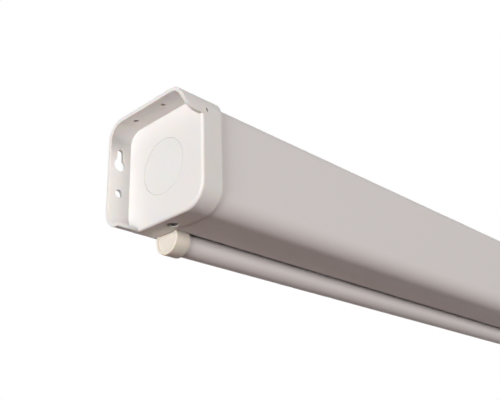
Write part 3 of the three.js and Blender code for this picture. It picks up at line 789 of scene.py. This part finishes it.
# %% Caps of the bar
def bar_cap():
    """From the middle of the dish out to the rim, along the outside and back inside the tube."""
    start = cap_of_bar_low.x - corner.x
    end = cap_of_bar_high.x - corner.x
    radius, soft, inner = bar_cap_radius, 0.9 * mm, tube_radius + 0.3 * mm
    dish, dish_depth, dish_soft = 11.1 * mm, 0.8 * mm, 0.4 * mm
    flat, lip_depth, lip_wide = dish - 0.5 * mm, 0.1 * mm, 0.2 * mm
    bottom, wall = start + dish_depth, start + 2.6 * mm
    profile = [(bottom, 0), (bottom, flat)]
    profile += arc(bottom - dish_soft, flat, dish_soft, 0, pi / 2, 4)[1:]
    profile += [(start + lip_depth, dish), (start, dish + lip_wide), (start, radius - soft)]
    profile += arc(start + soft, radius - soft, soft, pi, pi / 2, 8)[1:]
    profile += arc(end - soft / 2, radius - soft / 2, soft / 2, pi / 2, 0, 5)
    profile += [(end, inner), (wall, inner), (wall, 0)]
    return smooth(settle(turned("left_bar_end", "X", (bar_y, bar_z), profile)), 50)


left_bar_end = bar_cap()
right_bar_end = mirrored(left_bar_end, "right_bar_end")
dress(left_bar_end, bar_cap_plastic, "bottom_bar", "bar_cap", "left_bar_cap")
dress(right_bar_end, bar_cap_plastic, "bottom_bar", "bar_cap", "right_bar_cap")

# %% [markdown]
# ## The screen
#
# The cloth is 0.3 mm thick: white, matt and backed, with a black border at each side. Most of it is
# wound on the roller. Each turn lies one thickness further out than the turn before, which makes
# the roll a spiral, and its length follows from its area: pi (R^2 - r^2) / thickness.

# %% Cloth
cloth_low, cloth_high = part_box("screen_roll")
drop_low, drop_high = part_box("screen_drop")
cloth_wide = cloth_high.x - cloth_low.x
border = 40 * mm


def cloth(name):
    finish = Finish(name, roughness=0.88, specular_ior_level=0.25)
    across = finish.add("ShaderNodeSeparateXYZ", {}, finish.place)
    middle = (cloth_low.x + cloth_high.x) / 2
    reach = cloth_wide / 2 - border
    edge = finish.add("ShaderNodeMath", {"operation": "ABSOLUTE"}, across - middle) > reach
    wear = finish.noise(14, 3)
    white = finish.blend(wear, (0.86, 0.86, 0.85), (0.84, 0.84, 0.835))
    finish.set("Base Color", finish.blend(edge, white, (0.018, 0.018, 0.02)))
    finish.bumps(finish.noise(900, 2, (1, 1, 0.02)), 0.03 * mm)
    return finish.material


screen_cloth = cloth("screen_cloth")


# %% The wound screen
def spiral_tree(name):
    """A spiral round the X axis, drawn out along X, with the cloth's thickness added later."""
    tree, given, output, step = new_tree(name, Turns="Float", Inner="Float", Outer="Float",
                                         Steps="Int", Length="Vector", Material="Material")
    line = step("CurveSpiral", Resolution=given["Steps"], Rotations=given["Turns"],
                Start_Radius=given["Inner"], End_Radius=given["Outer"], Height=0.0)
    upright = step("Transform", Geometry=line, Rotation=(0, -pi / 2, 0))
    strip = step("CurveToMesh", Curve=upright)
    drawn = step("ExtrudeMesh", {"mode": "EDGES"}, Mesh=strip, Offset=given["Length"],
                 Offset_Scale=1.0)
    return finish_tree(tree, drawn, output, step, given["Material"])


cloth_thick, cloth_share = 0.3 * mm, 0.8  # a little air stays between the turns
roll_inner, roll_outer = 16.35 * mm, (cloth_high.z - cloth_low.z) / 2
roll_turns = (roll_outer - roll_inner) / cloth_thick


def screen_roll():
    """The spiral tree draws its own line, so the curve it is put on only gives the name."""
    start = bent_line("wound_screen", 0, [(0, 0, 0), (0, 1, 0)])
    piece = run_tree(start, spiral_tree("spiral_roll"), Turns=roll_turns,
                     Inner=roll_inner + cloth_thick / 2, Outer=roll_outer - cloth_thick / 2,
                     Steps=48, Length=(cloth_wide, 0, 0), Material=screen_cloth)
    thicken(piece, cloth_thick * cloth_share)
    return settle(piece, Vector((cloth_low.x, corner.y + hub_y, corner.z + hub_z)))


roll = smooth(screen_roll(), 40)
dress(roll, screen_cloth, "roller", "fabric", "screen_roll")


# %% The free screen
def screen_drop(rows=40):
    """The flat length between the roll and the hem, in rows, so that it stretches evenly."""
    section = ((drop_low.x, drop_low.y), (drop_high.x, drop_low.y),
               (drop_high.x, drop_high.y), (drop_low.x, drop_high.y))
    rings = []
    for k in range(rows + 1):
        z = drop_high.z + (drop_low.z - drop_high.z) * k / rows
        rings.append([(x, y, z) for x, y in section])
    return solid_from("hanging_screen", rings)


drop = screen_drop()
drop.data.materials.append(screen_cloth)
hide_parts("screen_drop")
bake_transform(drop)

# %% [markdown]
# ## The pull and the screws
#
# The pull is a moulded loop on a pin under the bar. The screw under each cap is a pan head with a
# cross, in the mouth of its boss. Its near-black colour also paints the shade inside that mouth.

# %% The pull
pull_low, pull_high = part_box("pull_handle")
pin_low, pin_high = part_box("handle_pin")


def pull():
    """A loop with a rounded top, bored for its pin."""
    low, top, left, right = pull_low.z, pull_high.z, pull_low.x, pull_high.x
    arm, grip, outside, inside, pin_room = 6 * mm, 8 * mm, 16 * mm, 10 * mm, 2.5 * mm
    outline = rounded([
        (left, top, 0), (left, low, outside), (right, low, outside), (right, top, 0),
        (right - arm, top, 0), (right - arm, low + grip, inside),
        (left + arm, low + grip, inside), (left + arm, top, 0),
    ])
    piece = prism("pull", "Y", outline, pull_low.y, pull_high.y)
    round_top = (pull_high.y - pull_low.y) / 2 * 0.99
    side = prism("eye", "X", rounded([
        (pull_low.y, low - over, 0), (pull_high.y, low - over, 0),
        (pull_high.y, top, round_top), (pull_low.y, top, round_top),
    ]), left - over, right + over)
    combine(piece, [side], "INTERSECT")
    pin_y, pin_z = (pin_low.y + pin_high.y) / 2, (pin_low.z + pin_high.z) / 2
    pin_way = circle(pin_y, pin_z, pin_room, 32)
    combine(piece, [prism("pin_way", "X", pin_way, left - over, right + over)])
    return soften(piece, 1.1 * mm, segments=4)


dress(pull(), handle_plastic, "pull_handle", "handle", "pull_handle")


# %% The screws under the caps
def base_screw():
    """Head, shank and tip turned in one profile, then two slots for the cross."""
    head, soft, shank, face = 4.55 * mm, 1.2 * mm, 1.7 * mm, 0.4 * mm
    neck, tip = face + 2 * mm, face + 10 * mm
    profile = [(face, 0), (face, head - soft)]
    profile += arc(face + soft, head - soft, soft, pi, pi / 2, 6)[1:]
    profile += [(neck, head), (neck, shank), (tip, shank), (tip, 0)]
    piece = turned("left_screw", "Z", (screw_x, screw_y), profile, 48)
    long, short, cross_depth = 2.3 * mm, 0.55 * mm, 1.2 * mm
    for half_x, half_y in ((long, short), (short, long)):
        outline = [(screw_x - half_x, screw_y - half_y), (screw_x + half_x, screw_y - half_y),
                   (screw_x + half_x, screw_y + half_y), (screw_x - half_x, screw_y + half_y)]
        combine(piece, [prism("cross", "Z", outline, face - over, face + cross_depth)])
    return settle(soften(piece, 0.12 * mm, segments=2))


left_screw = base_screw()
dress(left_screw, dark_screw_and_recess_shade, "case", "dark_steel", "left_base_screw")
dress(mirrored(left_screw, "right_screw"), dark_screw_and_recess_shade, "case", "dark_steel", "right_base_screw")

# %% [markdown]
# ## Metal inside the case
#
# The brackets, the shaft, the ratchet and the pins already have their true shapes in the solids, so
# they only need their finish.

# %% Finishes of the inner solids
inner_finishes = {
    zinc: ["left_bracket", "right_bracket", "motor_shaft", "ratchet_plate", "spring_anchor",
           "motor_end_plug", "rear_pawl_pin", "front_pawl_pin", "idler_pin", "handle_bracket",
           "handle_rivet_left", "handle_rivet_right", "handle_pin",
           "left_bracket_rivet_lower", "left_bracket_rivet_upper",
           "right_bracket_rivet_lower", "right_bracket_rivet_upper"],
    spring_steel: ["torsion_spring", "rear_pawl", "front_pawl"],
    drawn_aluminium: ["roller_tube", "hem_rod"],
    acetal: ["idler_bush", "idler_plug", "shaft_bearing"],
}
for material, names in inner_finishes.items():
    for name in names:
        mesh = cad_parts[name].data
        mesh.materials.clear()
        mesh.materials.append(material)
print("dressed", sum(len(names) for names in inner_finishes.values()), "solids")

# %% [markdown]
# ## Camera, light and room
#
# The camera stands to the left of the case, below it and in front, and looks up at the end cap.
# One large lamp lights the end panel, a second the front and a third the rear. A weak warm one
# stands low at the left, for the light that a room's floor and walls throw back up.
#
# A white room would fill every shadow with its own light. So each ray gets the surface that suits
# it: the lens sees a white sky and a pale floor, while the screen is lit by a sky that is nearly
# dark and by a floor that gives back only a little warm light.

# %% Camera
view = bpy.data.objects.new("camera", bpy.data.cameras.new("camera"))
bpy.context.scene.collection.objects.link(view)
azimuth, elevation, tilt = radians(46.063), radians(23.104), radians(-1.890)
turn = Matrix.Rotation(-azimuth, 4, "Z") @ Matrix.Rotation(pi / 2 + elevation, 4, "X")
turn = turn @ Matrix.Rotation(tilt, 4, "Z")
eye = corner + Vector((-349.30, -386.93, -220.66)) * mm
view.matrix_world = Matrix.Translation(eye) @ turn
view.data.lens = 53.317
view.data.sensor_width = 36
view.data.shift_x = -0.0003
view.data.shift_y = 0.0001
view.data.clip_start = 0.01
bpy.context.scene.camera = view


# %% One surface for the lens, another for the light
def seen_or_lit(tree, lit, seen, output):
    """The lens, gloss and glass see one surface. Everything else sees the lit one."""
    path = tree.nodes.new("ShaderNodeLightPath")
    kinds = [path.outputs[f"Is {kind} Ray"] for kind in ("Camera", "Glossy", "Transmission")]
    either = kinds[0]
    for kind in kinds[1:]:
        larger = tree.nodes.new("ShaderNodeMath")
        larger.operation = "MAXIMUM"
        tree.links.new(either, larger.inputs[0])
        tree.links.new(kind, larger.inputs[1])
        either = larger.outputs[0]
    mix = tree.nodes.new("ShaderNodeMixShader")
    tree.links.new(either, mix.inputs[0])
    tree.links.new(lit, mix.inputs[1])
    tree.links.new(seen, mix.inputs[2])
    tree.links.new(mix.outputs[0], output)


# %% Sky
sky_strength = 0.01
world = bpy.data.worlds.new("studio")
bpy.context.scene.world = world
world.use_nodes = True
sky = world.node_tree.nodes["Background"]
sky.inputs["Color"].default_value = (1, 1, 1, 1)
sky.inputs["Strength"].default_value = sky_strength
white = world.node_tree.nodes.new("ShaderNodeBackground")
white.inputs["Color"].default_value = (1, 1, 1, 1)
seen_or_lit(world.node_tree, sky.outputs[0], white.outputs[0],
            world.node_tree.nodes["World Output"].inputs["Surface"])

# %% Floor
floor_radius, floor_level, floor_thick = 9.0, -4.0, 0.02
shadow_share = 0.15  # how much of the floor's paleness takes shadows
floor = prism("floor", "Z", circle(corner.x + span / 2, 0, floor_radius),
              floor_level - floor_thick, floor_level)
floor_finish = Finish("pale_floor", roughness=0.9, colour=(0.06, 0.012, 0.005))
matt = floor_finish.nodes.new("ShaderNodeBsdfDiffuse")
matt.inputs["Color"].default_value = (0.88, 0.88, 0.88, 1)
pale = floor_finish.nodes.new("ShaderNodeEmission")
bright = floor_finish.nodes.new("ShaderNodeMixShader")
bright.inputs[0].default_value = shadow_share
floor_finish.links.new(pale.outputs[0], bright.inputs[1])
floor_finish.links.new(matt.outputs[0], bright.inputs[2])
seen_or_lit(floor_finish.material.node_tree, floor_finish.shader.outputs[0], bright.outputs[0],
            floor_finish.nodes["Material Output"].inputs["Surface"])
floor.data.materials.append(floor_finish.material)
print("floor", floor_radius * 2, "m across at", floor_level, "m")


# %% Lamps
def softbox(name, place, target, size, power, colour):
    """A round lamp that stands at one place and faces another, both in metres."""
    lamp = bpy.data.lights.new(name, "AREA")
    lamp.shape = "DISK"
    lamp.size = size
    lamp.energy = power
    lamp.color = colour
    holder = bpy.data.objects.new(name, lamp)
    bpy.context.scene.collection.objects.link(holder)
    aim = (Vector(target) - Vector(place)).to_track_quat("-Z", "Y")
    holder.matrix_world = Matrix.Translation(place) @ aim.to_matrix().to_4x4()


softbox("side", (-2.6, -0.5, -0.3), (0.0, -0.05, 0), 1.6, 75, (0.96, 0.985, 1.0))
softbox("front", (0.3, -3.4, 0.3), (0.4, 0, 0), 0.9, 65, (1, 0.95, 0.92))
softbox("low", (-2.0, 0.0, -1.2), (0, 0, 0), 1.2, 4.5, (1, 0.3, 0.03))
softbox("rear", (3.4, 2.6, 1.5), (1.0, -0.05, 0), 1.6, 130, (1, 0.99, 0.97))
print("camera at", [round(c, 3) for c in eye])

# %% [markdown]
# ## The view transform
#
# The finished pieces have to fill the same room as the solids. The frame is shown through the
# Standard view transform.

# %% View transform
bpy.context.scene.view_settings.view_transform = "Standard"
